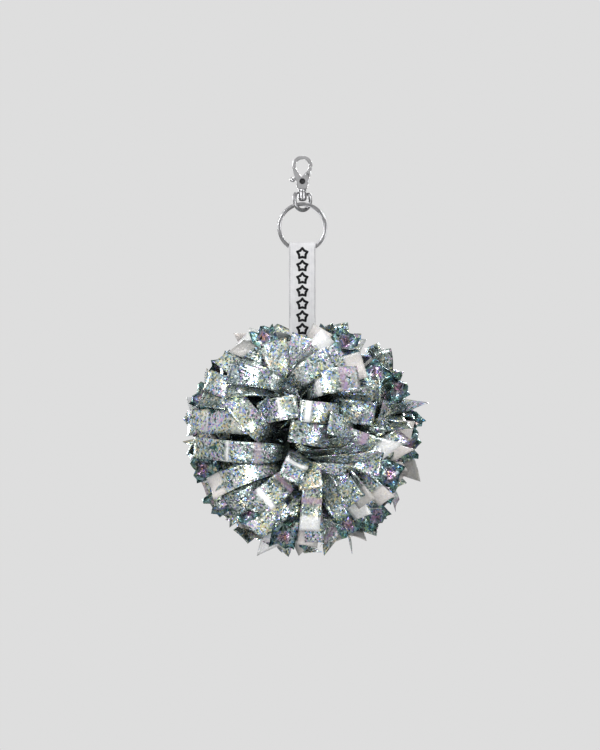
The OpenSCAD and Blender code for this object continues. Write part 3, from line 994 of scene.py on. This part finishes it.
def make_rivet():
    """A domed rim round a sunk, punched middle at each end of the pin, as (radius, y) pairs that
    are turned about the Y axis."""
    profile = (RIVET_HEAD + [(RIVET_PIN_R, -RIVET_HALF), (RIVET_PIN_R, RIVET_HALF)]
               + [(r, -y) for r, y in RIVET_HEAD[::-1]])
    rings = [[(r * math.cos(a), y, RIVET_Z + r * math.sin(a)) for a in circle(40)]
             for r, y in profile]
    made = sweep("fine_gate_rivet", rings, DARK_NICKEL)
    smooth_by_angle(made, 30)
    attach(made, "clasp")
    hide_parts("gate_rivet")


SPRING_X = -2.65
SPRING_FOOT, SPRING_TOP = -15.65, -13.07
SPRING_TURNS = 4
SPRING_R, SPRING_WIRE_R = 0.5, 0.13
STEPS_A_TURN = 24


def make_spring():
    """The gate's return spring, as a coil at rest. The real one flattens as the lever's arm comes
    down on its outer side.
    """
    steps = STEPS_A_TURN * SPRING_TURNS
    rings = []
    for i in range(steps + 1):
        a = 2 * math.pi * SPRING_TURNS * i / steps
        z = SPRING_FOOT + (SPRING_TOP - SPRING_FOOT) * i / steps
        ring = []
        for b in circle(8):
            r = SPRING_R + SPRING_WIRE_R * math.cos(b)
            ring.append((SPRING_X + r * math.cos(a), r * math.sin(a),
                         z + SPRING_WIRE_R * math.sin(b)))
        rings.append(ring)
    made = sweep("fine_gate_spring", rings, SPRING_STEEL)
    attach(made, "clasp")
    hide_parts("gate_spring")
    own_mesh(made)


refined("hook_body", "clasp", NICKEL, voxel=0.14)
refined("gate_lever", "gate", NICKEL, voxel=0.12)
refined("swivel_stud", "clasp", SHADED_NICKEL, bevel=0.15)
refined("swivel_eye", "swivel", SHADED_NICKEL, voxel=0.14)
refined("cable_tie", "pom", NYLON, bevel=0.3)
refined("bundle_front", "pom", PAINTED_SHADE_GATHER, bevel=0.8)
refined("bundle_back", "pom", PAINTED_SHADE_GATHER, bevel=0.8)
make_split_ring()
make_rivet()
make_spring()


# ---------------------------------------------------------------- stage, light and camera

FLOOR_Z, FLOOR_R = -410.0, 340.0
# Lamps: where each one is, how wide and high it is, and its power. They point at the pom.
LAMPS = {
    "key": ((-0.62, -0.95, 0.25), (0.22, 0.22), 7.0),
    "fill": ((0.75, -0.85, -0.15), (0.14, 0.5), 5.0),
    "low": ((-0.35, -0.95, -0.85), (0.3, 0.3), 4.0),
    "top": ((0.05, -0.1, 0.75), (0.3, 0.3), 2.5),
    "rear_left": ((0.60, 0.90, 0.35), (0.22, 0.22), 11.0),
    "rear_right": ((-0.75, 0.85, 0.0), (0.14, 0.5), 6.5),
}
SOFTBOXES = 8.0         # bright and dark stripes round the studio
ROOM = [(0.15, grey(0.05)), (0.38, grey(0.20)), (0.55, grey(0.52)), (0.72, grey(0.80)),
        (1.0, grey(0.95))]
CAMERA_DISTANCE, VIEW_HEIGHT, SENSOR = 1.6, 0.45, 36.0
VIEW_X, VIEW_Z = -0.0014, -0.1294


def make_floor():
    verts = [(FLOOR_R * math.cos(a), FLOOR_R * math.sin(a), FLOOR_Z) for a in circle(96)]
    matt = soft_material("floor_paint", grey(0.38), grey(0.41), 0.8, 20.0, 0.0001)
    floor = mesh_object("floor", verts, [tuple(range(96))], matt, smooth=False)


def make_lamps():
    for name, (place, size, power) in LAMPS.items():
        lamp = bpy.data.lights.new(name, "AREA")
        lamp.shape = "RECTANGLE"
        lamp.size, lamp.size_y = size
        lamp.energy = power
        made = bpy.data.objects.new(name, lamp)
        made.location = place
        aim = Vector((0, 0, POM_Z * MM)) - Vector(place)
        made.rotation_euler = aim.to_track_quat("-Z", "Y").to_euler()
        bpy.context.scene.collection.objects.link(made)


def make_world():
    """The camera sees a plain pale grey. The object is lit by a studio that is darker low down."""
    world = bpy.data.worlds.new("studio")
    bpy.context.scene.world = world
    world.use_nodes = True
    tree = world.node_tree
    tree.nodes.clear()
    generated = add(tree, "ShaderNodeTexCoord").outputs["Generated"]
    direction = add(tree, "ShaderNodeSeparateXYZ", {0: generated}).outputs
    around = maths(tree, "ARCTAN2", direction[1], direction[0])
    stripes = maths(tree, "COSINE", maths(tree, "MULTIPLY", around, SOFTBOXES))
    height = maths(tree, "MULTIPLY", direction[2], 0.22)
    level = maths(tree, "ADD", maths(tree, "MULTIPLY", stripes, 0.13), height)
    room = ramp(tree, maths(tree, "ADD", level, 0.5), ROOM)
    seen = add(tree, "ShaderNodeBackground", {"Color": (0.73, 0.73, 0.73, 1), "Strength": 1.0})
    lit = add(tree, "ShaderNodeBackground", {"Color": room, "Strength": 0.9})
    ray = add(tree, "ShaderNodeLightPath").outputs["Is Camera Ray"]
    both = add(tree, "ShaderNodeMixShader", {0: ray, 1: lit.outputs[0], 2: seen.outputs[0]})
    add(tree, "ShaderNodeOutputWorld", {0: both.outputs[0]})


def make_camera():
    camera = bpy.data.objects.new("camera", bpy.data.cameras.new("camera"))
    camera.data.sensor_width = SENSOR
    camera.data.lens = SENSOR * CAMERA_DISTANCE / VIEW_HEIGHT
    camera.location = (VIEW_X, -CAMERA_DISTANCE, VIEW_Z)
    camera.rotation_euler = (math.pi / 2, 0, 0)
    bpy.context.scene.collection.objects.link(camera)
    bpy.context.scene.camera = camera


make_floor()
make_world()
make_lamps()
make_camera()
bpy.context.scene.view_settings.view_transform = "Standard"
